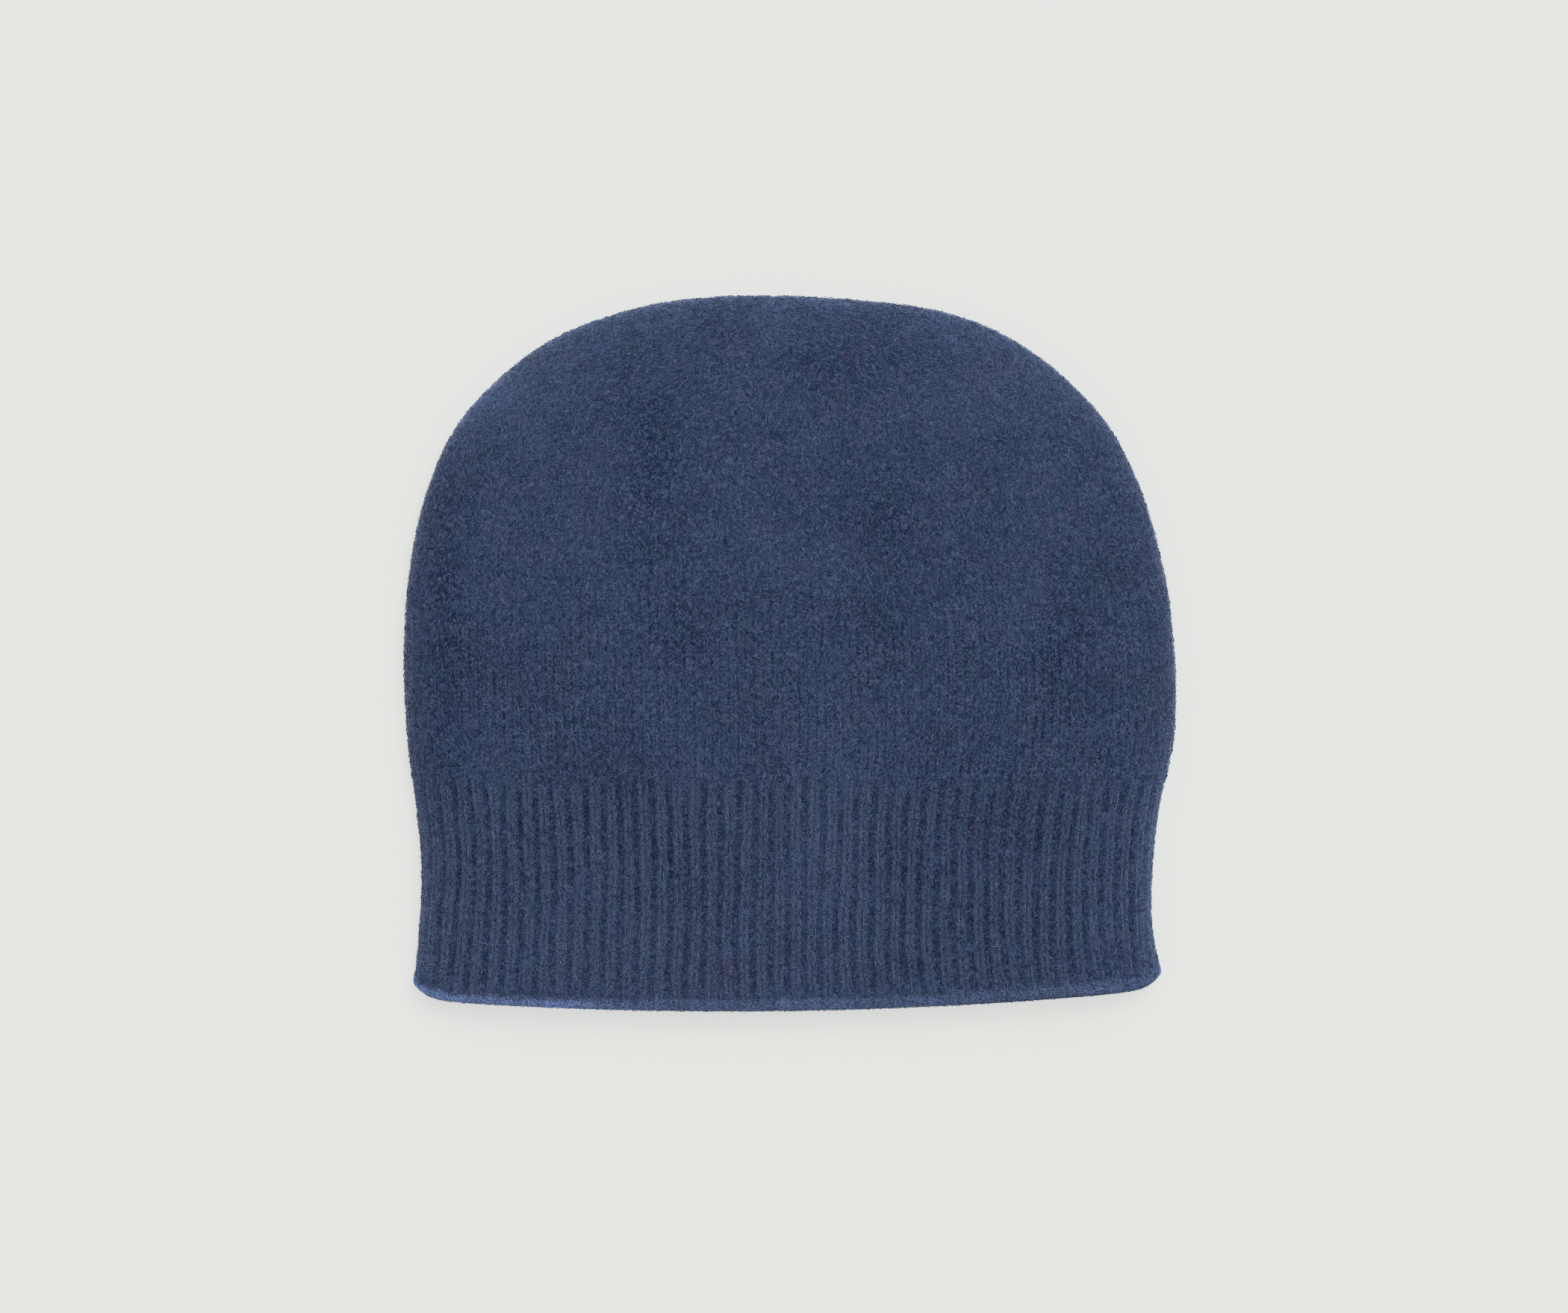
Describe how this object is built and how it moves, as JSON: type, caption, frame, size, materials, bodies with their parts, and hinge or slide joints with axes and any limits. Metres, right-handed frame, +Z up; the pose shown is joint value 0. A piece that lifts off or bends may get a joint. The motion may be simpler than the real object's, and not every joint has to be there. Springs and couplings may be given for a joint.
{
  "type": "knitted ribbed hat",
  "caption": "Close-fitting pull-on knit hat with a plain rounded crown and a ribbed band, lying flat with its mouth a little open",
  "frame": {"origin": "Bottom centre of the bounding box: under the middle of the hat, on the surface that it lies on.", "axes": "The hat lies on its back. +X is to the right across the hat, which is its longest extent, +Y runs from the mouth to the top of the crown, and +Z is up, through its two layers, which is its shortest extent."},
  "size_m": [0.227, 0.2098, 0.021],
  "materials": {
    "crown_knit": "plain stockinette knit in navy-grey wool yarn, lightly felted, matt with a short fuzz",
    "band_rib": "the same yarn in fine ribs that run up from the mouth, with a smooth felted hem"
  },
  "bodies": {
    "root": {"crown": "crown_knit", "ribbed_band": "band_rib"}
  },
  "joints": []
}
